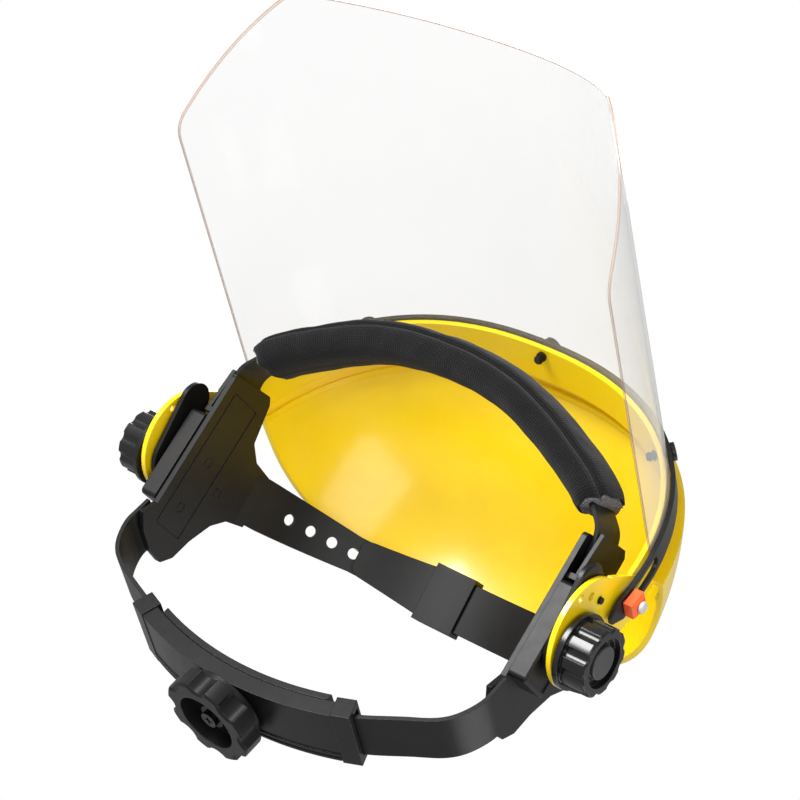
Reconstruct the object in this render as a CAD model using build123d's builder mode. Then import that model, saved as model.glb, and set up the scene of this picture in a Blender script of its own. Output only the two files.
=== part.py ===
from build123d import *
from math import cos, pi, radians, sin, sqrt
import os

os.makedirs("parts", exist_ok=True)

# ---------------------------------------------------------------- driving dimensions (mm)
# frame: +Z up, front of the wearer faces -Y, wearer's left is +X, X is the tilt-pivot direction
PIVOT_Y = 0.0
PIVOT_Z = 9.0
GAP = 0.3
# side frame mouldings
PLATE_IN = 90.0
PLATE_T = 2.4
PLATE_OUT = PLATE_IN + PLATE_T
# pivot blocks on the side frames
BLOCK_IN = PLATE_OUT + GAP
BLOCK_OUT = 101.0
BLOCK_LEN = 42.0
BLOCK_H = 20.0
# tilt-stop levers
LEVER_IN = 101.6
LEVER_OUT = 104.2
# brow guard
EAR_IN = 104.8
EAR_OUT = 107.0
EAR_R = 23.0
EAR_CY = -8.0
EAR_CZ = 13.0
STOP_R = 21.0
STOP_ANGLES = (182, 202, 222)
STOP_HOLE = 3.4
SKIN = 2.2
BRIM_TILT = 21.5
BRIM_Y = -22.0
BRIM_Z = 15.8
BAND_H = 20.0
BAND_W = EAR_OUT
BAND_R = 105.6
DOME_W = 112.8
DOME_R = 114.0
CURVE_P = 2.3
REAR_LEAN = 13.0
REAR_EDGE = ((-8, 150), (-14, 120), (-20, 98), (-30, 74), (-42, 50), (-47, 30))
# visor
VISOR_T = 1.0
VISOR_TOP = 12.0
VISOR_SIDE_Y = -31.0
VISOR_TAPER_W = 0.0
VISOR_TAPER_R = 0.0
VISOR_P_LOW = 2.2
VISOR_FRONT_H = -176.0
VISOR_CORNER_H = -136.0
# strap round the brim
STRAP_T = 1.8
STRAP_LO = 0.0
STRAP_HI = 10.0
# clips and studs
CLIP_BACK = -9.0
CLIP_H = 5.0
STUD_XS = (76.0, 0.0, -76.0)
STUD_H = 4.0
STUD_HOLE = 1.95
# pivot hardware
BOLT_R = 2.5
RUN = 0.06
KNOB_IN = 108.6
KNOB_LEN = 13.0
KNOB_R = 14.0
KNOB_FLUTES = 10
# crown strap
CROWN_W = 23.0
CROWN_LEAN = 7.0
CROWN_A = 90.3
CROWN_B = 75.0
CROWN_T = 1.8
CROWN_OUT_A = 91.4
CROWN_OUT_B = 77.5
CROWN_BASE_Z = 40.0
CROWN_BASE_Y = -4.0
HOLE_PITCH = 11.0
HOLE_R = 2.5
# front band and sweatband
FRONT_TILT = 14.0
FRONT_Y = -44.0
FRONT_Z = 14.0
BAND_HEIGHT = 19.0
BAND_T = 1.8
PAD_H = 29.0
PAD_T = 16.5
COVER_T = 0.9
# rear band
REAR_TILT = 22.0
REAR_Y = 30.0
REAR_Z = 8.0
RSTRAP_H = 22.0
RSTRAP_T = 1.8
HOUSE_R = 150.0
HOUSE_TOP = 50.0
HOUSE_X = 55.0
HOUSE_H = 27.0
PINION_R = 4.6
RKNOB_R = 20.0
RKNOB_LOBES = 8


# ---------------------------------------------------------------- planes and curves
def tilted(y, z, angle):
    """plane through (0, y, z), +X along x, its normal leaning rearward by angle"""
    a = radians(angle)
    return Plane(origin=(0, y, z), x_dir=(1, 0, 0), z_dir=(0, sin(a), cos(a)))


def side_plane(x):
    """plane facing +X at x, drawing coordinates are (y, z)"""
    return Plane(origin=(x, 0, 0), x_dir=(0, 1, 0), z_dir=(1, 0, 0))


BRIM = tilted(BRIM_Y, BRIM_Z, BRIM_TILT)
FRONT = tilted(FRONT_Y, FRONT_Z, -FRONT_TILT)
REAR = tilted(REAR_Y, REAR_Z, REAR_TILT)
PIVOT_AXIS = Axis((0, PIVOT_Y, PIVOT_Z), (1, 0, 0))


def arc_points(w, r, n=16, p=CURVE_P):
    """half of a rounded-square curve, from (w, 0) round the front (0, -r) to (-w, 0)"""
    pts = []
    for i in range(n + 1):
        t = pi * i / n
        c = cos(t)
        s = sin(t)
        k = 2.0 / p
        x = w * (abs(c) ** k) * (1 if c >= 0 else -1)
        pts.append((x, -r * (s ** k)))
    pts[0] = (w, 0.0)
    pts[n] = (-w, 0.0)
    return pts


def u_solid(w, r, back, h0, h1):
    """solid block with a U-shaped outline on the brim plane, between heights h0 and h1"""
    with BuildPart() as block:
        with BuildSketch(BRIM.offset(h0)):
            with BuildLine():
                Spline(*arc_points(w, r), tangents=[(0, -1), (0, 1)], tangent_scalars=[1, 1])
                Polyline((-w, 0), (-w, back), (w, back), (w, 0))
            make_face()
        extrude(amount=h1 - h0)
    return block.part


def dome_shell(w, r, t):
    """rounded shell of thickness t, turned about the X direction of the brim plane"""
    face = Plane(origin=(0, BRIM_Y, BRIM_Z), x_dir=(1, 0, 0), z_dir=(0, sin(radians(40)), cos(radians(40))))
    with BuildPart() as ball:
        with BuildSketch(face):
            with BuildLine():
                outer = [(x, -y) for x, y in arc_points(w, r)]
                inner = [(x, -y) for x, y in arc_points(w - t, r - t)]
                Spline(*outer, tangents=[(0, 1), (0, -1)], tangent_scalars=[1, 1])
                Line((-w, 0), (t - w, 0))
                Spline(*inner, tangents=[(0, 1), (0, -1)], tangent_scalars=[1, 1])
                Line((w - t, 0), (w, 0))
            make_face()
        revolve(axis=Axis((0, BRIM_Y, BRIM_Z), (1, 0, 0)), revolution_arc=230)
    return ball.part


def local(plane, x, y, h):
    v = plane.from_local_coords((x, y, h))
    return (v.X, v.Y, v.Z)


def mirror_x(part):
    return mirror(part, about=Plane.YZ)


def save(solid, name):
    solid.label = name
    export_step(solid, "parts/" + name + ".step")


def polar_yz(radius, angle):
    a = radians(angle)
    return (PIVOT_Y + radius * cos(a), PIVOT_Z + radius * sin(a))


def stud_plane(x):
    """plane on the inner wall of the brim band at a stud, facing outward"""
    w = BAND_W - SKIN
    r = BAND_R - SKIN
    y = r * (1 - (abs(x) / w) ** CURVE_P) ** (1 / CURVE_P)
    nx = (abs(x) / w) ** (CURVE_P - 1) / w
    ny = (y / r) ** (CURVE_P - 1) / r
    out = Vector(nx if x > 0 else -nx, 0, 0) - BRIM.y_dir * ny
    return Plane(origin=local(BRIM, x, -y, STUD_H), x_dir=BRIM.z_dir, z_dir=out.normalized())


def stud_holes():
    """round tools, one at each stud"""
    with BuildPart() as tools:
        for x in STUD_XS:
            with BuildSketch(stud_plane(x).offset(-8)):
                Circle(STUD_HOLE)
            extrude(amount=24)
    return tools.part


CLIP_POS = local(BRIM, 0, CLIP_BACK, CLIP_H)

# ---------------------------------------------------------------- brow guard
REAR_CUT = Plane(origin=(0, 6, 26), x_dir=(1, 0, 0), z_dir=(0, cos(radians(REAR_LEAN)), sin(radians(REAR_LEAN))))
dome = dome_shell(DOME_W, DOME_R, SKIN)
band_out = u_solid(BAND_W, BAND_R, 60, 0, BAND_H)
band_in = u_solid(BAND_W - SKIN, BAND_R - SKIN, 80, -1, BAND_H + 1)
step_out = u_solid(DOME_W - 2.4, DOME_R - 2.6, 60, BAND_H - SKIN, BAND_H)
rib_out = u_solid(DOME_W - 4.3, DOME_R - 5.8, 60, BAND_H + 8, BAND_H + 11)
rib_in = u_solid(DOME_W - 5.8, DOME_R - 7.3, 80, BAND_H + 7, BAND_H + 12)

with BuildPart() as front_block:
    with BuildSketch(side_plane(0)):
        with BuildLine():
            Spline(*REAR_EDGE)
            Polyline(REAR_EDGE[-1], (-48, -60), (-220, -60), (-220, 170), (-8, 170), REAR_EDGE[0])
        make_face()
    extrude(amount=200, both=True)

with BuildPart() as shell_part:
    add(dome)
    split(bisect_by=BRIM.offset(BAND_H - SKIN), keep=Keep.TOP)
    add(front_block.part, mode=Mode.INTERSECT)

with BuildPart() as rib_part:
    add(rib_out)
    add(rib_in, mode=Mode.SUBTRACT)
    add(front_block.part, mode=Mode.INTERSECT)

with BuildPart() as step_part:
    add(step_out)
    add(front_block.part, mode=Mode.INTERSECT)

with BuildPart() as brow_guard:
    add(band_out)
    split(bisect_by=REAR_CUT, keep=Keep.BOTTOM)
    add(step_part.part)
    add(band_in, mode=Mode.SUBTRACT)
    add(shell_part.part)
    add(rib_part.part)
    for side in (1, -1):
        with BuildSketch(side_plane(EAR_IN if side > 0 else -EAR_OUT)):
            with Locations((EAR_CY, EAR_CZ)):
                Circle(EAR_R)
            with BuildLine():
                Polyline((-31, 8), (-42, 30), (4, 34), (15, 13), (-31, 8))
            make_face()
        extrude(amount=SKIN)
    with BuildSketch(side_plane(-150)):
        with Locations((PIVOT_Y, PIVOT_Z)):
            Circle(BOLT_R + RUN)
        for angle in STOP_ANGLES:
            with Locations(polar_yz(STOP_R, angle)):
                Circle(STOP_HOLE / 2)
        with Locations((CLIP_POS[1], CLIP_POS[2])):
            Circle(2.0)
    extrude(amount=300, mode=Mode.SUBTRACT)
    add(stud_holes(), mode=Mode.SUBTRACT)
save(brow_guard.part, "brow_guard")


# ---------------------------------------------------------------- visor
def visor_section(h):
    w = (BAND_W + GAP + VISOR_T) * (1 + min(h, 0) * VISOR_TAPER_W)
    r = (BAND_R + GAP + VISOR_T) * (1 + min(h, 0) * VISOR_TAPER_R)
    with BuildSketch(BRIM.offset(h)) as section:
        with BuildLine():
            p = CURVE_P + (VISOR_P_LOW - CURVE_P) * max(-h, 0) / 182
            outer = arc_points(w, r, p=p)
            inner = arc_points(w - VISOR_T, r - VISOR_T, p=p)
            Spline(*outer, tangents=[(0, -1), (0, 1)], tangent_scalars=[1, 1])
            Line((-w, 0), (-w + VISOR_T, 0))
            Spline(*inner, tangents=[(0, -1), (0, 1)], tangent_scalars=[1, 1])
            Line((w - VISOR_T, 0), (w, 0))
        make_face()
    return section.sketch


SIDE_VIEW = Plane(origin=BRIM.origin, x_dir=BRIM.y_dir, z_dir=(1, 0, 0))
visor_faces = [visor_section(h) for h in (VISOR_TOP, 0, -60, -125, -210)]
with BuildPart() as visor:
    add(visor_faces)
    loft()
    with BuildSketch(SIDE_VIEW):
        with BuildLine():
            run = (VISOR_FRONT_H - VISOR_CORNER_H) / 50.0
            Polyline((VISOR_SIDE_Y, 40), (VISOR_SIDE_Y, VISOR_CORNER_H), (VISOR_SIDE_Y - 50, VISOR_FRONT_H),
                     (-160, VISOR_FRONT_H + run * -60), (-160, 40), (VISOR_SIDE_Y, 40))
        make_face()
        fillet(vertices().filter_by(lambda v: abs(v.Y - VISOR_CORNER_H) < 0.1), 14)
    extrude(amount=200, both=True, mode=Mode.INTERSECT)
    add(stud_holes(), mode=Mode.SUBTRACT)
save(visor.part, "visor")

# ---------------------------------------------------------------- strap round the brim
STRAP_IN = GAP + VISOR_T + GAP
strap_out = u_solid(BAND_W + STRAP_IN + STRAP_T, BAND_R + STRAP_IN + STRAP_T, 8, STRAP_LO, STRAP_HI)
strap_in = u_solid(BAND_W + STRAP_IN, BAND_R + STRAP_IN, 20, STRAP_LO - 1, STRAP_HI + 1)
STRAP_SIDE = Plane(origin=local(BRIM, 0, -14, CLIP_H), x_dir=BRIM.y_dir, z_dir=(1, 0, 0))
with BuildPart() as visor_strap:
    add(strap_out)
    add(strap_in, mode=Mode.SUBTRACT)
    with BuildSketch(STRAP_SIDE):
        with Locations((-5, 0)):
            SlotOverall(27, 5.6)
    extrude(amount=200, both=True, mode=Mode.SUBTRACT)
    with BuildSketch(STRAP_SIDE):
        with BuildLine():
            Polyline((8, -12), (8, -6), (17, -1.5), (17, 1.5), (8, 6), (8, 12), (40, 12), (40, -12), (8, -12))
        make_face()
    extrude(amount=200, both=True, mode=Mode.SUBTRACT)
    add(stud_holes(), mode=Mode.SUBTRACT)
save(visor_strap.part, "visor_strap")

# ---------------------------------------------------------------- turning clips and their rivets
CLIP_IN = EAR_OUT + GAP
with BuildPart() as clip_l:
    with BuildSketch(Plane(origin=(CLIP_IN, CLIP_POS[1], CLIP_POS[2]), x_dir=BRIM.y_dir, z_dir=(1, 0, 0))):
        Circle(2.6)
    extrude(amount=STRAP_IN + STRAP_T - GAP + GAP)
    with BuildSketch(Plane(origin=(CLIP_IN + STRAP_IN + STRAP_T, CLIP_POS[1], CLIP_POS[2]),
                           x_dir=BRIM.y_dir, z_dir=(1, 0, 0))):
        Rectangle(8.6, 7.4)
    extrude(amount=5.0)
    chamfer(clip_l.faces().sort_by(Axis.X)[-1].edges(), 1.2)
    with BuildSketch(Plane(origin=(100, CLIP_POS[1], CLIP_POS[2]), x_dir=BRIM.y_dir, z_dir=(1, 0, 0))):
        Circle(1.5 + RUN)
    extrude(amount=40, mode=Mode.SUBTRACT)
save(clip_l.part, "strap_clip_l")
save(mirror_x(clip_l.part), "strap_clip_r")
CLIP_END = CLIP_IN + STRAP_IN + STRAP_T + 5.0
with BuildPart() as rivet_l:
    with BuildSketch(Plane(origin=(EAR_IN - 2.1, CLIP_POS[1], CLIP_POS[2]), x_dir=(0, 1, 0), z_dir=(1, 0, 0))):
        Circle(3.0)
    extrude(amount=1.5)
    with BuildSketch(Plane(origin=(EAR_IN - 0.9, CLIP_POS[1], CLIP_POS[2]), x_dir=(0, 1, 0), z_dir=(1, 0, 0))):
        Circle(1.5)
    extrude(amount=CLIP_END - EAR_IN + 1.9)
    with BuildSketch(Plane(origin=(CLIP_END + GAP, CLIP_POS[1], CLIP_POS[2]), x_dir=(0, 1, 0), z_dir=(1, 0, 0))):
        Circle(2.5)
    extrude(amount=1.6)
    fillet(rivet_l.faces().sort_by(Axis.X)[-1].edges(), 1.1)
clip_rivets = Compound(children=[rivet_l.part, mirror_x(rivet_l.part)])
save(clip_rivets, "clip_rivets")

# ---------------------------------------------------------------- push studs through the strap, visor and brim band
STUD_OUT = SKIN + STRAP_IN + STRAP_T
with BuildPart() as stud:
    for x in STUD_XS:
        foot = stud_plane(x)
        with BuildSketch(foot.offset(-4.4)):
            Circle(1.5)
        extrude(amount=STUD_OUT + 5.4)
        for back, size in ((-1.7, 2.3), (-3.6, 2.0)):
            with BuildSketch(foot.offset(back)):
                Circle(size)
            extrude(amount=1.1)
        with BuildSketch(foot.offset(STUD_OUT + 0.5)):
            Circle(4.0)
        extrude(amount=1.6)
brim_studs = Compound(children=list(stud.part.solids()))
save(brim_studs, "brim_studs")

# ---------------------------------------------------------------- pivot blocks
with BuildPart() as block_l:
    with BuildSketch(side_plane(BLOCK_IN)):
        with Locations((PIVOT_Y, BLOCK_H / 2)):
            RectangleRounded(BLOCK_LEN, BLOCK_H, 2)
    extrude(amount=BLOCK_OUT - BLOCK_IN)
    chamfer(block_l.faces().sort_by(Axis.X)[-1].edges(), 0.8)
    with BuildSketch(side_plane(BLOCK_IN)):
        with Locations((PIVOT_Y, PIVOT_Z)):
            RegularPolygon(4.6, 6)
    extrude(amount=4.0, mode=Mode.SUBTRACT)
    with BuildSketch(side_plane(BLOCK_IN)):
        with Locations((PIVOT_Y, PIVOT_Z)):
            Circle(BOLT_R + RUN)
    extrude(amount=20, mode=Mode.SUBTRACT)
    with BuildSketch(side_plane(BLOCK_OUT - 0.6)):
        with Locations((PIVOT_Y, BLOCK_H / 2)):
            Rectangle(BLOCK_LEN - 4, BLOCK_H - 4)
        with Locations((PIVOT_Y, PIVOT_Z)):
            Circle(6.4, mode=Mode.SUBTRACT)
    extrude(amount=2, mode=Mode.SUBTRACT)
save(block_l.part, "pivot_block_l")
save(mirror_x(block_l.part), "pivot_block_r")

# ---------------------------------------------------------------- pivot bolts, washers and knob inserts
BOLT_END = KNOB_IN + 9.5
with BuildPart() as bolt_l:
    with BuildSketch(side_plane(BLOCK_IN + GAP)):
        with Locations((PIVOT_Y, PIVOT_Z)):
            RegularPolygon(4.3, 6)
    extrude(amount=3.4)
    with BuildSketch(side_plane(BLOCK_IN + GAP)):
        with Locations((PIVOT_Y, PIVOT_Z)):
            Circle(BOLT_R)
    extrude(amount=BOLT_END - BLOCK_IN - GAP)
    chamfer(bolt_l.edges().sort_by(Axis.X)[-1], 0.5)
save(Compound(children=[bolt_l.part, mirror_x(bolt_l.part)]), "pivot_bolts")
with BuildPart() as washer_l:
    with BuildSketch(side_plane(EAR_OUT + GAP)):
        with Locations((PIVOT_Y, PIVOT_Z)):
            Circle(8.5)
            Circle(BOLT_R + RUN, mode=Mode.SUBTRACT)
    extrude(amount=1.0)
save(Compound(children=[washer_l.part, mirror_x(washer_l.part)]), "pivot_washers")

# ---------------------------------------------------------------- tilt-stop levers
PEG = polar_yz(STOP_R, STOP_ANGLES[0])
with BuildPart() as lever_l:
    with BuildSketch(side_plane(LEVER_IN)):
        with Locations((PIVOT_Y, PIVOT_Z)):
            Circle(12)
        with Locations((-23.5, 1.5)):
            Circle(8.5)
        make_hull()
    extrude(amount=LEVER_OUT - LEVER_IN)
    chamfer(lever_l.faces().sort_by(Axis.X)[-1].edges(), 0.7)
    with BuildSketch(side_plane(LEVER_OUT - 0.5)):
        with Locations(PEG):
            Circle(STOP_HOLE / 2 - 0.3)
    extrude(amount=EAR_OUT - LEVER_OUT + 1.6)
    with BuildSketch(side_plane(LEVER_IN - 1)):
        with Locations((PIVOT_Y, PIVOT_Z)):
            Circle(BOLT_R + RUN)
    extrude(amount=10, mode=Mode.SUBTRACT)
save(lever_l.part, "stop_lever_l")
save(mirror_x(lever_l.part), "stop_lever_r")

# ---------------------------------------------------------------- side knobs
KNOB_END = KNOB_IN + KNOB_LEN
AT_PIVOT = [(PIVOT_Y, PIVOT_Z)]
with BuildPart() as knob_l:
    with BuildSketch(side_plane(KNOB_IN)):
        with Locations(AT_PIVOT):
            Circle(KNOB_R + 1.6)
    extrude(amount=2.2)
    with BuildSketch(side_plane(KNOB_IN + 2.2)):
        with Locations(AT_PIVOT):
            Circle(KNOB_R)
            with PolarLocations(KNOB_R + 1.9, KNOB_FLUTES):
                Circle(3.0, mode=Mode.SUBTRACT)
    extrude(amount=KNOB_LEN - 2.2)
    outer = knob_l.faces().filter_by(Plane.YZ).sort_by(Axis.X)[-1]
    chamfer(outer.outer_wire().edges(), 0.7)
    with BuildSketch(side_plane(KNOB_END - 2.6)):
        with Locations(AT_PIVOT):
            Circle(10.2)
            Circle(7.4, mode=Mode.SUBTRACT)
    extrude(amount=4, mode=Mode.SUBTRACT)
    with BuildSketch(side_plane(KNOB_END - 1.8)):
        with Locations(AT_PIVOT):
            Circle(7.5)
    extrude(amount=4, mode=Mode.SUBTRACT)
    with BuildSketch(side_plane(KNOB_IN)):
        with Locations(AT_PIVOT):
            Circle(3.9)
    extrude(amount=KNOB_LEN - 3.2, mode=Mode.SUBTRACT)
save(knob_l.part, "side_knob_l")
save(mirror_x(knob_l.part), "side_knob_r")
with BuildPart() as cap_l:
    with BuildSketch(side_plane(KNOB_END - 1.8 + 0.02)):
        with Locations(AT_PIVOT):
            Circle(6.9)
    extrude(amount=1.5)
    fillet(cap_l.faces().sort_by(Axis.X)[-1].edges(), 0.5)
save(cap_l.part, "knob_cap_l")
save(mirror_x(cap_l.part), "knob_cap_r")
with BuildPart() as insert_l:
    with BuildSketch(side_plane(KNOB_IN + 0.4)):
        with Locations(AT_PIVOT):
            Circle(3.8)
            Circle(BOLT_R + RUN, mode=Mode.SUBTRACT)
    extrude(amount=8.4)
save(insert_l.part, "knob_insert_l")
save(mirror_x(insert_l.part), "knob_insert_r")

# ---------------------------------------------------------------- side frames with the crown strap
crown_up = Vector(0, -sin(radians(CROWN_LEAN)), cos(radians(CROWN_LEAN)))
crown_face = Plane(origin=(0, CROWN_BASE_Y, CROWN_BASE_Z), x_dir=(1, 0, 0), z_dir=Vector(1, 0, 0).cross(crown_up))


def crown_ring(a0, b0, a1, b1, x0, x1, width, base=0.0):
    """part of the arched strap between x0 and x1, between two half ellipses"""
    with BuildPart() as ring:
        with BuildSketch(crown_face):
            Ellipse(a1, b1)
            Ellipse(a0, b0, mode=Mode.SUBTRACT)
            with Locations(((x0 + x1) / 2, base + 100)):
                Rectangle(x1 - x0, 200, mode=Mode.INTERSECT)
        extrude(amount=width / 2, both=True)
    return ring.part


def crown_normal(a, b, x):
    """plane on the half ellipse at x, facing outward"""
    y = b * sqrt(1 - (x / a) ** 2)
    n = Vector(x / a ** 2, 0, 0) + crown_up * (y / b ** 2)
    pos = crown_face.from_local_coords((x, y, 0))
    return Plane(origin=pos, x_dir=crown_face.z_dir, z_dir=n.normalized())


PEG_X = -37.0
HOLE_XS = (-80.6, -73.8, -66.2, -57.8, -48.1, PEG_X)
CROWN_TOP = Plane(origin=crown_face.origin, x_dir=(1, 0, 0), z_dir=crown_up)
INNER_PLAN = [(110, -11.5), (110, 11.5), (-24, 11.5), (-55.2, 8), (-55.2, -8), (-24, -11.5), (110, -11.5)]
OUTER_PLAN = [(-110, -11.5), (-110, 11.5), (-88, 11.5), (-58, 8.2), (2, 8.2), (2, -8.2), (-58, -8.2), (-88, -11.5),
              (-110, -11.5)]


def crown_plan(outline, tip):
    """block that gives a crown strap its outline seen from above, with rounded corners at its free end"""
    with BuildPart() as block:
        with BuildSketch(CROWN_TOP.offset(-80)):
            with BuildLine():
                Polyline(*outline)
            make_face()
            fillet(vertices().filter_by(lambda v: abs(v.X - tip) < 0.1), 4.5)
        extrude(amount=220)
    return block.part



with BuildPart() as plate_l:
    with BuildSketch(side_plane(PLATE_IN)):
        with BuildLine():
            Polyline((29, -4), (35, 3), (40, 15), (41, 24), (36, 30), (26, 34), (15, 41), (9, 49), (6, 62),
                     (-18, 62), (-19.5, 46), (-25, 37), (-42, 32), (-45, 29), (-41.5, 1), (22, 1), (29, -4))
        make_face()
        rounded = vertices().filter_by(lambda v: abs(v.Y) < 50 and not (abs(v.X) < 30 and v.Y < 2))
        fillet(rounded, 2.2)
    extrude(amount=PLATE_T)
    # embossed panel on the head side
    with BuildSketch(side_plane(PLATE_IN)):
        with Locations((-3.5, 16.5)):
            Rectangle(64, 20)
            Rectangle(62.6, 18.6, mode=Mode.SUBTRACT)
    extrude(amount=0.5, mode=Mode.SUBTRACT)
    with BuildSketch(side_plane(PLATE_IN)):
        for y, z in ((-5, 16), (17, 16), (2, 33)):
            with Locations((y, z)):
                Circle(2.4)
                Circle(1.9, mode=Mode.SUBTRACT)
    extrude(amount=0.3, mode=Mode.SUBTRACT)
    # outer lip that holds the front band
    with BuildSketch(side_plane(PLATE_OUT)):
        with Locations((-24, 16)):
            Rectangle(2.4, 26)
    extrude(amount=4.4)
    with BuildSketch(side_plane(PLATE_OUT + 2.6)):
        with BuildLine():
            Polyline((-22.8, 3), (-44, 5), (-46.5, 26), (-44, 29), (-22.8, 29), (-22.8, 3))
        make_face()
    extrude(amount=1.8)
plate_right_hand = plate_l.part

with BuildPart() as strap_inner:
    add(crown_ring(CROWN_A, CROWN_B, CROWN_A + CROWN_T, CROWN_B + CROWN_T, -58, 96, CROWN_W))
    add(crown_plan(INNER_PLAN, -55.2), mode=Mode.INTERSECT)

with BuildPart() as strap_outer:
    add(crown_ring(CROWN_OUT_A, CROWN_OUT_B, CROWN_OUT_A + CROWN_T, CROWN_OUT_B + CROWN_T, -96, 5, CROWN_W))
    add(crown_plan(OUTER_PLAN, 2), mode=Mode.INTERSECT)

with BuildPart() as side_frame_l:
    add(plate_right_hand)
    add(strap_inner.part)
    with BuildSketch(crown_normal(CROWN_A + CROWN_T, CROWN_B + CROWN_T, PEG_X).offset(-0.5)):
        Circle(HOLE_R - 0.4)
    extrude(amount=4.2)
save(side_frame_l.part, "side_frame_l")

with BuildPart() as side_frame_r:
    add(mirror_x(plate_right_hand))
    add(strap_outer.part)
    for x in HOLE_XS:
        with BuildSketch(crown_normal(CROWN_OUT_A, CROWN_OUT_B, x).offset(4)):
            Circle(HOLE_R)
        extrude(amount=-8, mode=Mode.SUBTRACT)
save(side_frame_r.part, "side_frame_r")

KEEP_A = CROWN_A - GAP
KEEP_B = CROWN_B - GAP
KEEP_OA = CROWN_OUT_A + CROWN_T + GAP
KEEP_OB = CROWN_OUT_B + CROWN_T + GAP
with BuildPart() as crown_keeper:
    add(crown_ring(KEEP_A - 1.4, KEEP_B - 1.4, KEEP_OA + 1.4, KEEP_OB + 1.4, -23, -3, CROWN_W + 4.0, 20))
    add(crown_ring(KEEP_A, KEEP_B, KEEP_OA, KEEP_OB, -27, 1, CROWN_W + 0.8, 20), mode=Mode.SUBTRACT)
save(crown_keeper.part, "crown_keeper")

# ---------------------------------------------------------------- front band
BAND_X = PLATE_OUT + GAP + BAND_T / 2
FRONT_HALF = [(BAND_X, -1.5), (86.0, -11.5), (63, -26.5), (33, -38.7), (0, -42.5)]
FRONT_PTS = FRONT_HALF + [(-x, y) for x, y in reversed(FRONT_HALF[:-1])]


def flat_curve(start, pts, tangents, end=None):
    """straight run, smooth curve and, where an end is given, another straight run"""
    with BuildLine(Plane.XY) as path:
        Line(start, pts[0])
        Spline(*pts, tangents=tangents, tangent_scalars=[0.5, 0.5])
        if end:
            Line(pts[-1], end)
    return path.wire()


def ribbon(plane, curve, d0, d1, h0, h1, steps=48):
    """strip that follows a curve drawn on the plane, from d0 to d1 beside it and from h0 to h1 above it"""
    near = []
    far = []
    for i in range(steps + 1):
        spot = curve @ (i / steps)
        run = curve % (i / steps)
        side = Vector(run.Y, -run.X, 0)
        near.append(spot + side * d0)
        far.append(spot + side * d1)
    with BuildPart() as strip:
        with BuildSketch(plane.offset(h0)):
            with BuildLine():
                Spline(*near)
                Line(near[-1], far[-1])
                Spline(*far)
                Line(far[0], near[0])
            make_face()
        extrude(amount=h1 - h0)
    return strip.part


def roll(plane, curve, rx, ry, u0, u1, steps=14):
    """soft roll with an oval section that follows a curve drawn on the plane"""
    sections = []
    for i in range(steps + 1):
        u = u0 + (u1 - u0) * i / steps
        spot = plane.from_local_coords(curve @ u)
        ahead = plane.from_local_coords((curve @ u) + (curve % u)) - spot
        sections.append(Plane(origin=spot, x_dir=plane.z_dir, z_dir=ahead) * Ellipse(rx, ry))
    with BuildPart() as tube:
        add(sections)
        loft()
    return tube.part


band_curve = flat_curve((BAND_X, 16), FRONT_PTS, [(0, -1), (0, 1)], (-BAND_X, 16))
with BuildPart() as front_band:
    add(ribbon(FRONT, band_curve, -BAND_T / 2, BAND_T / 2, -BAND_HEIGHT / 2, BAND_HEIGHT / 2))
save(front_band.part, "front_band")

# ---------------------------------------------------------------- sweatband: foam folded round the band, in a cloth skin
PAD_U = 0.125
INNER_H = PAD_H / 2 - COVER_T - 2 * GAP
INNER_T = PAD_T / 2 - COVER_T - 2 * GAP
SLOT_H = BAND_HEIGHT / 2 + 0.6
SLOT_T = BAND_T / 2 + 0.4
foam_roll = roll(FRONT, band_curve, INNER_H, INNER_T, PAD_U, 1 - PAD_U)
cover_roll = roll(FRONT, band_curve, PAD_H / 2, PAD_T / 2, PAD_U, 1 - PAD_U)
cover_hollow = roll(FRONT, band_curve, PAD_H / 2 - COVER_T, PAD_T / 2 - COVER_T, PAD_U - 0.02, 1.02 - PAD_U, 16)
with BuildPart() as sweatband_foam:
    add(foam_roll)
    add(ribbon(FRONT, band_curve, -SLOT_T, SLOT_T, -SLOT_H, SLOT_H), mode=Mode.SUBTRACT)
save(sweatband_foam.part, "sweatband_foam")

with BuildPart() as sweatband_cover:
    add(cover_roll)
    add(cover_hollow, mode=Mode.SUBTRACT)
save(sweatband_cover.part, "sweatband_cover")


# ---------------------------------------------------------------- rear straps with their toothed slots
def rear_plane(d):
    """plane across the adjuster axis, d outward from the middle curve of the rear housing"""
    return Plane(origin=local(REAR, 0, HOUSE_TOP + d, 0), x_dir=(1, 0, 0), z_dir=REAR.y_dir)


def rear_points(sign, radius):
    """strap centreline on the rear plane, from the side frame to past the middle of the housing"""
    cy = HOUSE_TOP - HOUSE_R
    pts = [(BAND_X + 0.1, 8), (88.8, 20.5), (74, 31)]
    for x in (56, 42, 21, 0, -21):
        pts.append((x, cy + sqrt(radius ** 2 - x ** 2)))
    return [(sign * x, y) for x, y in pts]


def slot_tool(sign, up):
    """slot with rack teeth along one edge"""
    with BuildPart() as tool:
        with BuildSketch(rear_plane(-12)):
            with Locations((sign * 9.0, 0)):
                Rectangle(42, 2 * PINION_R + 1.2)
            for i in range(14):
                with Locations((sign * 9.0 - 18.2 + 2.8 * i, up * (PINION_R + 0.9))):
                    Rectangle(1.5, 1.8)
        extrude(amount=24)
    return tool.part


for sign, name, shift in ((1, "rear_strap_l", 1.2), (-1, "rear_strap_r", -1.2)):
    strap_start = (sign * (BAND_X + 0.1), -3.5)
    strap_curve = flat_curve(strap_start, rear_points(sign, HOUSE_R + shift), [(0, 1), (-sign, -0.141)])
    with BuildPart() as rear_strap:
        add(ribbon(REAR, strap_curve, -RSTRAP_T / 2, RSTRAP_T / 2, -RSTRAP_H / 2, RSTRAP_H / 2))
        add(slot_tool(sign, -sign), mode=Mode.SUBTRACT)
    save(rear_strap.part, name)


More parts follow.
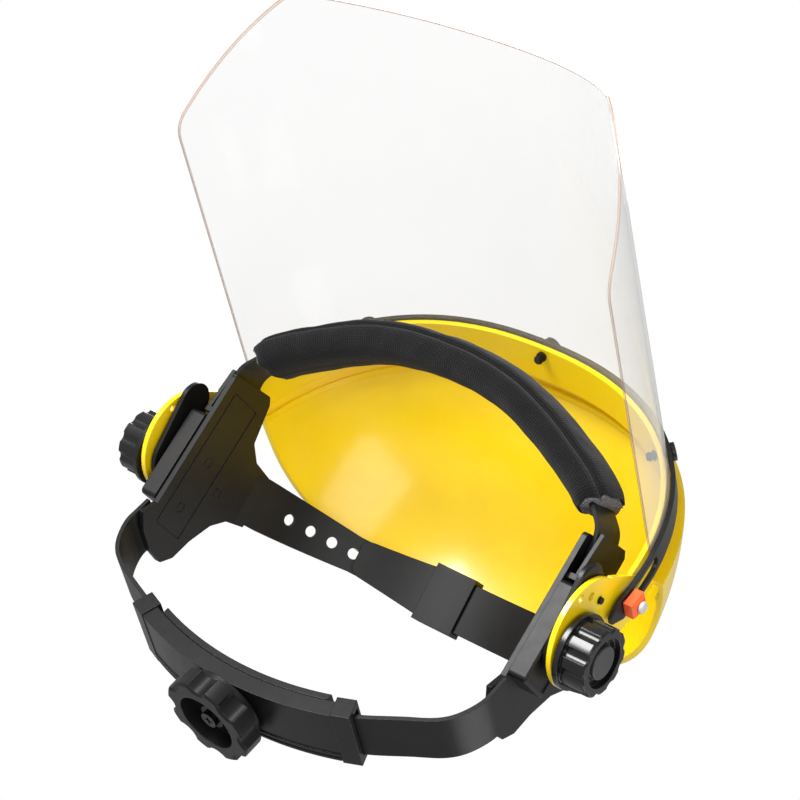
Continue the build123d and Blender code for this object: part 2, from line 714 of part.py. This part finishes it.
# ---------------------------------------------------------------- rear housing and its inner cover
def arc_block(r0, r1, half_x, h0, h1):
    """solid between two radii of the rear curve, from h0 to h1 across the band"""
    with BuildPart() as chunk:
        with BuildSketch(REAR.offset(h0)):
            with Locations((0, HOUSE_TOP - HOUSE_R)):
                Circle(r1)
                Circle(r0, mode=Mode.SUBTRACT)
            with Locations((0, HOUSE_TOP)):
                Rectangle(2 * half_x, 80, mode=Mode.INTERSECT)
        extrude(amount=h1 - h0)
    return chunk.part


HH = HOUSE_H / 2
HR = HOUSE_R
PASS_H = RSTRAP_H / 2 + 0.4
with BuildPart() as rear_housing:
    add(arc_block(HR + 2.6, HR + 4.8, HOUSE_X - 1, -HH, HH))
    add(arc_block(HR - 2.2, HR + 4.8, HOUSE_X - 1, HH - 2.0, HH))
    add(arc_block(HR - 2.2, HR + 4.8, HOUSE_X - 1, -HH, -HH + 2.0))
    add(arc_block(HR + 4.7, HR + 5.2, HOUSE_X - 6, HH - 1.4, HH - 0.2))
    add(arc_block(HR + 4.7, HR + 5.2, HOUSE_X - 6, HH - 3.8, HH - 2.6))
    for sign in (1, -1):
        with BuildSketch(REAR.offset(-HH - 0.8)):
            with Locations(Pos(sign * (HOUSE_X - 3.5), HOUSE_TOP - 8.5) * Rot(0, 0, -sign * 20)):
                Rectangle(8, 9.0)
        extrude(amount=HOUSE_H + 1.6)
    add(arc_block(HR - 2.5, HR + 2.5, HOUSE_X + 20, -PASS_H, PASS_H), mode=Mode.SUBTRACT)
    with BuildSketch(rear_plane(2.6)):
        Circle(12.5)
    extrude(amount=2.8)
    with BuildSketch(rear_plane(2.4)):
        Circle(8.8)
    extrude(amount=12, mode=Mode.SUBTRACT)
save(rear_housing.part, "rear_housing")

with BuildPart() as inner_cover:
    add(arc_block(HR - 5.2, HR - 2.5, HOUSE_X - 12, -HH + 0.2, HH - 0.2))
    add(arc_block(HR - 2.6, HR - 2.2, HOUSE_X - 12, -HH + 2.3, HH - 2.3), mode=Mode.SUBTRACT)
    with BuildSketch(rear_plane(0)):
        Circle(1.8)
    extrude(amount=-12, mode=Mode.SUBTRACT)
save(inner_cover.part, "rear_inner_cover")

# ---------------------------------------------------------------- ratchet knob, pinion, detent ring and screw
REAR_AXIS = Axis(REAR.origin, REAR.y_dir)
with BuildPart() as ratchet_knob:
    with BuildSketch(rear_plane(5.7)):
        Circle(17.0)
    extrude(amount=2.6)
    with BuildSketch(rear_plane(8.3)):
        Circle(RKNOB_R)
        with PolarLocations(RKNOB_R + 2.6, RKNOB_LOBES):
            Circle(5.4, mode=Mode.SUBTRACT)
    extrude(amount=9.2)
    chamfer(ratchet_knob.faces().sort_by(REAR_AXIS)[-1].outer_wire().edges(), 0.9)
    with BuildSketch(rear_plane(10.4)):
        Circle(13.0)
        Circle(5.5, mode=Mode.SUBTRACT)
    extrude(amount=12, mode=Mode.SUBTRACT)
    with BuildSketch(rear_plane(14.0)):
        Circle(6.0)
    extrude(amount=8, mode=Mode.SUBTRACT)
    with BuildSketch(rear_plane(5.0)):
        Circle(1.5 + RUN)
    extrude(amount=20, mode=Mode.SUBTRACT)
save(ratchet_knob.part, "ratchet_knob")

with BuildPart() as ratchet_pinion:
    with BuildSketch(rear_plane(-2.1)):
        Circle(PINION_R - 0.9)
        with PolarLocations(PINION_R - 0.9, 10):
            Rectangle(1.8, 1.1)
        Circle(1.5 + RUN, mode=Mode.SUBTRACT)
    extrude(amount=4.3)
    with BuildSketch(rear_plane(2.2)):
        Circle(3.4)
        Circle(1.5 + RUN, mode=Mode.SUBTRACT)
    extrude(amount=3.2)
save(ratchet_pinion.part, "ratchet_pinion")

with BuildPart() as detent_ring:
    with BuildSketch(rear_plane(2.9)):
        Circle(8.4)
        Circle(6.9, mode=Mode.SUBTRACT)
        with PolarLocations(5.7, 4):
            Rectangle(3.4, 1.3)
        Circle(4.0, mode=Mode.SUBTRACT)
    extrude(amount=2.0)
save(detent_ring.part, "detent_ring")

with BuildPart() as knob_screw:
    with BuildSketch(rear_plane(14.1)):
        Circle(3.6)
    extrude(amount=2.0)
    with BuildSketch(rear_plane(-1.9)):
        Circle(1.5)
    extrude(amount=16.0)
    with BuildSketch(rear_plane(15.2)):
        Rectangle(4.4, 0.9)
        Rectangle(0.9, 4.4)
    extrude(amount=2, mode=Mode.SUBTRACT)
save(knob_screw.part, "knob_screw")
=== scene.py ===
import math

import bmesh
import bpy
from mathutils import Matrix, Vector


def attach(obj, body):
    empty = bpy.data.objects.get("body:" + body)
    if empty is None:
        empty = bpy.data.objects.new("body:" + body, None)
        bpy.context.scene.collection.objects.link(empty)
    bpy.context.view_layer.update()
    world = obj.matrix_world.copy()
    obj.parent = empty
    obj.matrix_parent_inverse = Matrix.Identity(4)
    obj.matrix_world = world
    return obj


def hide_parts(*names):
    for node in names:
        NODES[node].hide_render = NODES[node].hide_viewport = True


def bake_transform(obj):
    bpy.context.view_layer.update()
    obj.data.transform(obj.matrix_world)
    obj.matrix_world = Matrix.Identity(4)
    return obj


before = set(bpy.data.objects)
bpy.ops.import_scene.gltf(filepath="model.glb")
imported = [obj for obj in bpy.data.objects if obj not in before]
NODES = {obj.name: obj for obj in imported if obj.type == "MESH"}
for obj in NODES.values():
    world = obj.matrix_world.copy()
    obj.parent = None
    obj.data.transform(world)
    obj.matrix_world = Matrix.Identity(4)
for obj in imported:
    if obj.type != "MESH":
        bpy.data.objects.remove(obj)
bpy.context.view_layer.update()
scene = bpy.context.scene


# ---------------------------------------------------------------- material helpers
class Shade:
    """a small wrapper that makes nodes and links them"""

    def __init__(self, name):
        self.mat = bpy.data.materials.new(name)
        self.mat.use_nodes = True
        self.tree = self.mat.node_tree
        self.bsdf = next(n for n in self.tree.nodes if n.type == "BSDF_PRINCIPLED")
        self.out = next(n for n in self.tree.nodes if n.type == "OUTPUT_MATERIAL")
        self.coord = self.node("ShaderNodeTexCoord").outputs["Object"]
        self.height = []

    def node(self, kind, **inputs):
        n = self.tree.nodes.new(kind)
        for key, value in inputs.items():
            key = key.replace("_", " ")
            if isinstance(value, bpy.types.NodeSocket):
                self.link(value, n.inputs[key])
            else:
                n.inputs[key].default_value = value
        return n

    def link(self, a, b):
        self.tree.links.new(a, b)

    def set(self, **values):
        for key, value in values.items():
            key = key.replace("_", " ")
            if isinstance(value, bpy.types.NodeSocket):
                self.link(value, self.bsdf.inputs[key])
            else:
                self.bsdf.inputs[key].default_value = value

    def math(self, op, a, b=None, clamp=False):
        n = self.tree.nodes.new("ShaderNodeMath")
        n.operation = op
        n.use_clamp = clamp
        for i, v in enumerate((a, b)):
            if v is None:
                continue
            if isinstance(v, bpy.types.NodeSocket):
                self.link(v, n.inputs[i])
            else:
                n.inputs[i].default_value = v
        return n.outputs[0]

    def noise(self, scale, detail=4.0, rough=0.55, coord=None):
        n = self.node("ShaderNodeTexNoise", Scale=scale, Detail=detail, Roughness=rough)
        self.link(coord or self.coord, n.inputs["Vector"])
        return n.outputs["Fac"]

    def ramp(self, fac, stops):
        n = self.tree.nodes.new("ShaderNodeValToRGB")
        self.link(fac, n.inputs["Fac"])
        els = n.color_ramp.elements
        while len(els) < len(stops):
            els.new(0.5)
        for el, (pos, col) in zip(els, stops):
            el.position = pos
            el.color = col if len(col) == 4 else (*col, 1.0)
        return n.outputs["Color"]

    def span(self, fac, lo, hi):
        n = self.tree.nodes.new("ShaderNodeMapRange")
        self.link(fac, n.inputs["Value"])
        n.inputs["To Min"].default_value = lo
        n.inputs["To Max"].default_value = hi
        return n.outputs["Result"]

    def bump(self, height, distance, strength=1.0, normal=None):
        n = self.node("ShaderNodeBump", Distance=distance, Strength=strength, Height=height)
        if normal is not None:
            self.link(normal, n.inputs["Normal"])
        return n.outputs["Normal"]

    def edge(self, radius):
        n = self.tree.nodes.new("ShaderNodeBevel")
        n.samples = 4
        n.inputs["Radius"].default_value = radius
        return n.outputs["Normal"]


def moulded(name, dark, light, rough=(0.3, 0.5), grain=2600.0, depth=0.00003, edge=0.0004, coat=0.0,
            specular=0.5):
    """injection-moulded plastic: faint colour drift, fine grain, softened edges"""
    s = Shade(name)
    drift = s.noise(38.0, 5.0)
    s.set(Base_Color=s.ramp(drift, [(0.32, dark), (0.7, light)]))
    rub = s.noise(210.0, 6.0, 0.65)
    s.set(Roughness=s.span(rub, *rough))
    fine = s.noise(grain, 2.0, 0.5)
    s.set(Normal=s.bump(fine, depth, 0.6, s.edge(edge)))
    s.set(Specular_IOR_Level=specular, Coat_Weight=coat, Coat_Roughness=0.12)
    return s


def give(mat, *names):
    for name in names:
        o = NODES[name]
        o.data.materials.clear()
        o.data.materials.append(mat)
        for p in o.data.polygons:
            p.material_index = 0


# ---------------------------------------------------------------- materials
yellow = moulded("yellow_gloss", (0.98, 0.66, 0.003), (1.0, 0.71, 0.006), (0.2, 0.3),
                 900.0, 0.00002, 0.0007, 0.35)
yellow.set(Subsurface_Weight=0.15, Subsurface_Scale=0.004, Subsurface_Radius=(1.0, 0.55, 0.05))
strap_black = moulded("strap_satin", (0.005, 0.005, 0.006), (0.01, 0.01, 0.011), (0.34, 0.46),
                      1800.0, 0.00002, specular=0.35)
nylon = moulded("nylon_satin", (0.004, 0.0038, 0.0038), (0.008, 0.0075, 0.0075), (0.34, 0.48),
                2400.0, 0.00003, 0.0004, specular=0.28)
fine = moulded("moulding_satin", (0.004, 0.004, 0.0045), (0.008, 0.008, 0.009), (0.28, 0.4),
               2600.0, 0.00003, 0.0005, specular=0.3)
knob_gloss = moulded("knob_gloss", (0.004, 0.004, 0.005), (0.009, 0.009, 0.01), (0.16, 0.26),
                     2600.0, 0.00002, 0.0006)
cap_grey = moulded("cap_grey", (0.03, 0.03, 0.031), (0.05, 0.05, 0.052), (0.34, 0.46),
                   2600.0, 0.00003, 0.0004)
screw_dark = moulded("screw_dark", (0.03, 0.03, 0.032), (0.06, 0.06, 0.063), (0.25, 0.4),
                     3200.0, 0.00002, 0.0003)
screw_dark.set(Metallic=1.0)
orange = moulded("orange_satin", (0.85, 0.085, 0.015), (0.95, 0.13, 0.02), (0.32, 0.45),
                 2000.0, 0.00003, 0.0005, 0.1)
rivet = moulded("rivet_pale", (0.42, 0.42, 0.4), (0.62, 0.61, 0.58), (0.35, 0.5),
                1500.0, 0.00003, 0.0005)
brass = moulded("brass_turned", (0.5, 0.33, 0.12), (0.65, 0.45, 0.18), (0.25, 0.4), 3000.0, 0.00002)
brass.set(Metallic=1.0)
steel = moulded("steel_plated", (0.42, 0.42, 0.43), (0.6, 0.6, 0.61), (0.22, 0.38), 3200.0, 0.00002)
steel.set(Metallic=1.0)

give(yellow.mat, "brow_guard")
give(strap_black.mat, "visor_strap")
give(nylon.mat, "side_frame_l", "side_frame_r", "front_band", "pivot_block_l", "pivot_block_r",
     "crown_keeper")
give(knob_gloss.mat, "side_knob_l", "side_knob_r")
give(cap_grey.mat, "knob_cap_l", "knob_cap_r")
give(screw_dark.mat, "knob_screw")
give(fine.mat, "stop_lever_l", "stop_lever_r", "rear_housing", "rear_inner_cover", "ratchet_knob",
     "ratchet_pinion", "brim_studs")
give(orange.mat, "strap_clip_l", "strap_clip_r")
give(rivet.mat, "clip_rivets")
give(steel.mat, "pivot_bolts", "pivot_washers", "detent_ring")
give(brass.mat, "knob_insert_l", "knob_insert_r")

# clear sheet: nearly invisible face on, brighter at a grazing angle, warm along its cut edge
clear = Shade("clear_sheet")
layer = clear.node("ShaderNodeLayerWeight", Blend=0.3)
soft_normal = clear.edge(0.0011)
geo = clear.tree.nodes.new("ShaderNodeNewGeometry")
dot = clear.tree.nodes.new("ShaderNodeVectorMath")
dot.operation = "DOT_PRODUCT"
clear.link(soft_normal, dot.inputs[0])
clear.link(geo.outputs["True Normal"], dot.inputs[1])
rim = clear.math("MULTIPLY", clear.math("SUBTRACT", 1.0, dot.outputs["Value"]), 9.0, clamp=True)
graze = clear.math("POWER", layer.outputs["Facing"], 2.2)
veil = clear.math("MULTIPLY_ADD", graze, 0.85)
veil.node.inputs[2].default_value = 0.07
smear = clear.span(clear.noise(26.0, 3.0, 0.6), 0.85, 1.15)
body_alpha = clear.math("MULTIPLY", veil, smear)
alpha = clear.math("MULTIPLY_ADD", rim, 0.85)
clear.link(body_alpha, alpha.node.inputs[2])
clear.set(Alpha=clear.math("MINIMUM", alpha, 0.9), Specular_IOR_Level=0.5)
clear.set(Base_Color=clear.ramp(rim, [(0.0, (0.84, 0.84, 0.83)), (0.4, (0.3, 0.13, 0.05))]))
clear.set(Roughness=clear.span(clear.noise(60.0, 4.0), 0.03, 0.07))
give(clear.mat, "visor")

# ---------------------------------------------------------------- woven cloth and foam
cloth = Shade("black_weave")
uv = cloth.tree.nodes.new("ShaderNodeUVMap")
uv.uv_map = "weave"


def threads(s, direction, period, source):
    w = s.tree.nodes.new("ShaderNodeTexWave")
    w.wave_type = "BANDS"
    w.bands_direction = direction
    w.inputs["Scale"].default_value = 0.314 / period
    w.inputs["Distortion"].default_value = 1.2
    w.inputs["Detail"].default_value = 2.0
    s.link(source, w.inputs["Vector"])
    return w.outputs["Fac"]


warp = threads(cloth, "X", 0.0011, uv.outputs["UV"])
weft = threads(cloth, "Y", 0.0009, uv.outputs["UV"])
weave = cloth.math("MULTIPLY", warp, weft)
fuzz = cloth.noise(1500.0, 3.0, 0.7)
lint = cloth.math("GREATER_THAN", cloth.noise(900.0, 2.0, 0.5), 0.72)
pile = cloth.math("ADD", cloth.math("MULTIPLY", weave, 0.6), cloth.math("MULTIPLY", fuzz, 0.6))
shade = cloth.math("ADD", pile, cloth.math("MULTIPLY", lint, 0.5))
# cloth colour follows the same pile height as its bump: the darker spots between the threads are painted shade,
# while the fuzz tone and lint specks are the cloth's own colour
CLOTH_TONE_AND_GAP_SHADE = [(0.2, (0.002, 0.002, 0.0025)), (0.75, (0.006, 0.006, 0.007)), (1.0, (0.025, 0.025, 0.028))]
cloth.set(Base_Color=cloth.ramp(shade, CLOTH_TONE_AND_GAP_SHADE))
cloth.set(Roughness=0.92, Sheen_Weight=0.08, Sheen_Roughness=0.6, Specular_IOR_Level=0.12)
folds = cloth.noise(120.0, 4.0, 0.5)
cloth.set(Normal=cloth.bump(pile, 0.00045, 0.8, cloth.bump(folds, 0.0012, 0.35)))

foam = Shade("grey_foam")
cells = foam.tree.nodes.new("ShaderNodeTexVoronoi")
cells.inputs["Scale"].default_value = 1400.0
foam.link(foam.coord, cells.inputs["Vector"])
# foam colour follows the same cell distance as its bump: the sunken pore centres are darker, which is painted shade,
# and the lighter grey of the cell walls is the foam's own colour
FOAM_GREY_AND_PORE_SHADE = [(0.0, (0.06, 0.055, 0.055)), (0.8, (0.2, 0.19, 0.19))]
foam.set(Base_Color=foam.ramp(cells.outputs["Distance"], FOAM_GREY_AND_PORE_SHADE))
foam.set(Roughness=0.95, Specular_IOR_Level=0.15)
foam.set(Normal=foam.bump(cells.outputs["Distance"], 0.0005, 0.9))


# ---------------------------------------------------------------- sweatband: padded roll folded round the front band
def tilted(y, z, angle):
    """origin and in-plane rearward direction and normal of a plane that leans about X"""
    a = math.radians(angle)
    return Vector((0, y, z)), Vector((0, math.cos(a), -math.sin(a))), Vector((0, math.sin(a), math.cos(a)))


FRONT_O, FRONT_Y, FRONT_N = tilted(-0.044, 0.014, -14.0)
HALF = [(0.0936, -0.0015), (0.086, -0.0115), (0.063, -0.0265), (0.033, -0.0387), (0.0, -0.0425)]
ROUTE = HALF + [(-x, y) for x, y in reversed(HALF[:-1])]


def smooth_route(points, first, last, count):
    """natural-looking curve through the points, with given end directions, sampled evenly by length"""
    pts = [Vector((x, y, 0)) for x, y in points]
    n = len(pts)
    tang = [Vector(first).normalized().to_3d()] + [None] * (n - 2) + [Vector(last).normalized().to_3d()]
    for i in range(1, n - 1):
        a = (pts[i] - pts[i - 1])
        b = (pts[i + 1] - pts[i])
        tang[i] = (a / a.length * b.length + b / b.length * a.length).normalized()
    dense = []
    for i in range(n - 1):
        chord = (pts[i + 1] - pts[i]).length
        for k in range(60):
            t = k / 60
            h00 = 2 * t ** 3 - 3 * t ** 2 + 1
            h10 = t ** 3 - 2 * t ** 2 + t
            h01 = -2 * t ** 3 + 3 * t ** 2
            h11 = t ** 3 - t ** 2
            dense.append(pts[i] * h00 + tang[i] * chord * h10 + pts[i + 1] * h01 + tang[i + 1] * chord * h11)
    dense.append(pts[-1])
    run = [0.0]
    for a, b in zip(dense, dense[1:]):
        run.append(run[-1] + (b - a).length)
    out = []
    j = 0
    for k in range(count):
        want = run[-1] * k / (count - 1)
        while j < len(run) - 2 and run[j + 1] < want:
            j += 1
        f = (want - run[j]) / max(run[j + 1] - run[j], 1e-9)
        out.append(dense[j].lerp(dense[j + 1], f))
    return out, run[-1]


route, route_len = smooth_route(ROUTE, (0, -1), (0, 1), 241)


def on_route(u):
    """place, direction, inward side and height direction at a fraction of the route"""
    f = u * (len(route) - 1)
    i = min(int(f), len(route) - 2)
    p = route[i].lerp(route[i + 1], f - i)
    a = route[max(i - 1, 0)]
    b = route[min(i + 2, len(route) - 1)]
    t = (b - a).normalized()
    side = Vector((t.y, -t.x, 0))
    world = FRONT_O + Vector((1, 0, 0)) * p.x + FRONT_Y * p.y
    run = (Vector((1, 0, 0)) * t.x + FRONT_Y * t.y).normalized()
    inward = (Vector((1, 0, 0)) * side.x + FRONT_Y * side.y).normalized()
    return world, run, inward, FRONT_N


def mesh_object(name, verts, faces, mat, uvs=None):
    me = bpy.data.meshes.new(name)
    me.from_pydata(verts, [], faces)
    me.update()
    o = bpy.data.objects.new(name, me)
    scene.collection.objects.link(o)
    me.materials.append(mat)
    if uvs:
        layer = me.uv_layers.new(name="weave")
        for loop in me.loops:
            layer.data[loop.index].uv = uvs[loop.vertex_index]
    for p in me.polygons:
        p.use_smooth = True
    return o


def wobble(u, a):
    """slow uneven fullness of a hand-sewn roll"""
    slow = 0.5 * math.sin(23 * u + 2.1 * math.cos(a))
    return slow + 0.3 * math.sin(51 * u + a * 2 + 1.3) + 0.2 * math.sin(97 * u - 3 * a)


PAD_HALF_T = 0.0078
PAD_HALF_H = 0.0138
PAD_GIRTH = 0.066
CLOTH_T = 0.0009


def pad_section(u, a, grow=0.0):
    """offset from the route at angle a round the roll, with the groove where the fold meets"""
    half_t = PAD_HALF_T + grow
    half_h = PAD_HALF_H + grow
    c, s = math.cos(a), math.sin(a)
    k = 0.86
    x = half_t * math.copysign(abs(c) ** k, c)
    y = half_h * math.copysign(abs(s) ** k, s)
    near = math.exp(-((a - GROOVE) / 0.13) ** 2)
    pinch = 1 - 0.26 * near
    fat = 1 + 0.035 * wobble(u, a)
    return x * pinch * fat, y * pinch * fat


GROOVE = math.radians(232)
PAD_A, PAD_B = 0.063, 0.937
AROUND = 56
ALONG = 190


def tube(name, mat, u0, u1, grow, along=ALONG, flare=True, close=False):
    verts, faces, uvs = [], [], []
    for i in range(along + 1):
        u = u0 + (u1 - u0) * i / along
        world, run, inward, up = on_route(u)
        ends = min(i, along - i) / along
        lip = 1 - 0.10 * math.exp(-(ends / 0.012) ** 2) if flare else 1.0
        for j in range(AROUND):
            a = 2 * math.pi * j / AROUND
            x, y = pad_section(u, a, grow)
            jag = 0.0006 * math.sin(7 * a + 3 * u) * math.exp(-(ends / 0.01) ** 2)
            verts.append(world + inward * x * lip + up * y * lip + run * jag)
            uvs.append((u * route_len, j / AROUND * PAD_GIRTH))
    for i in range(along):
        for j in range(AROUND):
            k = (j + 1) % AROUND
            faces.append((i * AROUND + j, i * AROUND + k, (i + 1) * AROUND + k, (i + 1) * AROUND + j))
    if close:
        for i in (0, along):
            ring = [i * AROUND + j for j in range(AROUND)]
            mid = sum((verts[v] for v in ring), Vector()) / AROUND
            verts.append(mid)
            uvs.append((0, 0))
            c = len(verts) - 1
            for j in range(AROUND):
                k = (j + 1) % AROUND
                tri = (c, ring[k], ring[j]) if i == 0 else (c, ring[j], ring[k])
                faces.append(tri)
    return mesh_object(name, verts, faces, mat, uvs)


def puff(o, pins, cap, pressure=4.0, frames=16):
    """short cloth simulation under pressure, each point kept within cap of where it began"""
    start = [v.co.copy() for v in o.data.vertices]
    group = o.vertex_groups.new(name="pins")
    group.add(pins, 1.0, "REPLACE")
    mod = o.modifiers.new("Cloth", "CLOTH")
    s = mod.settings
    s.quality = 4
    s.mass = 0.15
    s.tension_stiffness = 25
    s.compression_stiffness = 25
    s.bending_stiffness = 0.4
    s.use_pressure = True
    s.uniform_pressure_force = pressure
    s.vertex_group_mass = "pins"
    s.effector_weights.gravity = 0.0
    mod.collision_settings.use_collision = False
    mod.point_cache.frame_start = 1
    mod.point_cache.frame_end = frames
    for f in range(1, frames + 1):
        scene.frame_set(f)
    dg = bpy.context.evaluated_depsgraph_get()
    moved = [v.co.copy() for v in o.evaluated_get(dg).data.vertices]
    o.modifiers.remove(mod)
    scene.frame_set(1)
    for v, a, b in zip(o.data.vertices, start, moved):
        d = b - a
        if d.length > cap:
            d = d * (cap / d.length)
        v.co = a + d
    o.data.update()


sweat = tube("sweatband", cloth.mat, PAD_A, PAD_B, 0.0)
groove_row = round(GROOVE / (2 * math.pi) * AROUND) % AROUND
pinned = [i * AROUND + groove_row for i in range(ALONG + 1)]
for end in (0, 1, ALONG - 1, ALONG):
    pinned += [end * AROUND + j for j in range(AROUND)]
puff(sweat, sorted(set(pinned)), CLOTH_T)
shell = sweat.modifiers.new("thick", "SOLIDIFY")
shell.thickness = CLOTH_T
shell.offset = -1
soft = sweat.modifiers.new("soft", "SUBSURF")
soft.levels = 1
soft.render_levels = 1
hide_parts("sweatband_cover")
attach(sweat, "headgear")

core = tube("sweatband_foam_core", foam.mat, PAD_A - 0.0035, PAD_B + 0.0035, -0.00115, 160, False, True)
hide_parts("sweatband_foam")
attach(core, "headgear")


# ---------------------------------------------------------------- rear straps: copies sliced every 2.5 mm along X take the place of the imported ones
def bending_copy(node, name, side):
    src = NODES[node]
    me = src.data.copy()
    me.name = name
    bm = bmesh.new()
    bm.from_mesh(me)
    for k in range(1, 40):
        x = side * 0.0025 * k
        geom = bm.verts[:] + bm.edges[:] + bm.faces[:]
        bmesh.ops.bisect_plane(bm, geom=geom, plane_co=(x, 0, 0), plane_no=(1, 0, 0))
    bm.to_mesh(me)
    bm.free()
    o = bpy.data.objects.new(name, me)
    scene.collection.objects.link(o)
    me.materials.clear()
    me.materials.append(nylon.mat)
    o.matrix_world = src.matrix_world.copy()
    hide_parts(node)
    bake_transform(o)
    return o


bending_copy("rear_strap_l", "rear_strap_left", 1)
bending_copy("rear_strap_r", "rear_strap_right", -1)


# ---------------------------------------------------------------- floor, light and camera
def plain(name, colour, rough):
    s = Shade(name)
    n = s.noise(3.0, 3.0)
    tint = [tuple(c * k for c in colour) for k in (0.97, 1.0)]
    s.set(Base_Color=s.ramp(n, [(0.3, tint[0]), (0.7, tint[1])]), Roughness=rough)
    return s


floor_mat = plain("studio_floor", (0.86, 0.86, 0.86), 0.7)
FLOOR_SIZE = 14.0
FLOOR_DROP = 1.5
bpy.ops.mesh.primitive_plane_add(size=FLOOR_SIZE, location=(0, 0, -FLOOR_DROP))
floor = bpy.context.object
floor.name = "studio_floor"
floor.data.materials.append(floor_mat.mat)

world = bpy.data.worlds.new("studio")
scene.world = world
world.use_nodes = True
wt = world.node_tree
for n in list(wt.nodes):
    wt.nodes.remove(n)
w_out = wt.nodes.new("ShaderNodeOutputWorld")
w_light = wt.nodes.new("ShaderNodeBackground")
w_light.inputs["Color"].default_value = (1.0, 1.0, 1.0, 1.0)
w_light.inputs["Strength"].default_value = 0.5
w_seen = wt.nodes.new("ShaderNodeBackground")
w_seen.inputs["Color"].default_value = (1.0, 1.0, 1.0, 1.0)
w_seen.inputs["Strength"].default_value = 1.0
w_mix = wt.nodes.new("ShaderNodeMixShader")
w_path = wt.nodes.new("ShaderNodeLightPath")
wt.links.new(w_path.outputs["Is Camera Ray"], w_mix.inputs["Fac"])
wt.links.new(w_light.outputs["Background"], w_mix.inputs[1])
wt.links.new(w_seen.outputs["Background"], w_mix.inputs[2])
wt.links.new(w_mix.outputs["Shader"], w_out.inputs["Surface"])
scene.view_settings.view_transform = "Standard"


def area(name, place, target, size, watts):
    data = bpy.data.lights.new(name, "AREA")
    data.shape = "SQUARE"
    data.size = size
    data.energy = watts
    o = bpy.data.objects.new(name, data)
    scene.collection.objects.link(o)
    o.location = place
    aim = Vector(target) - Vector(place)
    o.rotation_mode = "QUATERNION"
    o.rotation_quaternion = aim.to_track_quat("-Z", "Y")
    return o


MIDDLE = (0, -0.02, 0.0)
area("key_below", (-0.35, -0.35, -1.05), MIDDLE, 0.55, 22.0)
area("fill_below", (0.9, 0.2, -0.9), MIDDLE, 0.9, 7.0)
area("key_above", (-0.9, -1.1, 1.1), MIDDLE, 0.9, 16.0)
area("fill_above", (1.2, 0.6, 0.9), MIDDLE, 1.0, 9.0)

CAM_RIGHT = Vector((0.76897, -0.50781, 0.38834))
CAM_UP = Vector((-0.33386, -0.83704, -0.43347))
CAM_BACK = CAM_RIGHT.cross(CAM_UP)
cam_data = bpy.data.cameras.new("photo_angle")
cam_data.sensor_width = 36.0
cam_data.lens = 109.52
cam_data.clip_start = 0.05
cam_data.clip_end = 50.0
cam = bpy.data.objects.new("photo_angle", cam_data)
scene.collection.objects.link(cam)
turn = Matrix((CAM_RIGHT, CAM_UP, CAM_BACK)).transposed()
cam.matrix_world = Matrix.Translation((0.52477, 0.14119, -0.80118)) @ turn.to_4x4()
scene.camera = cam
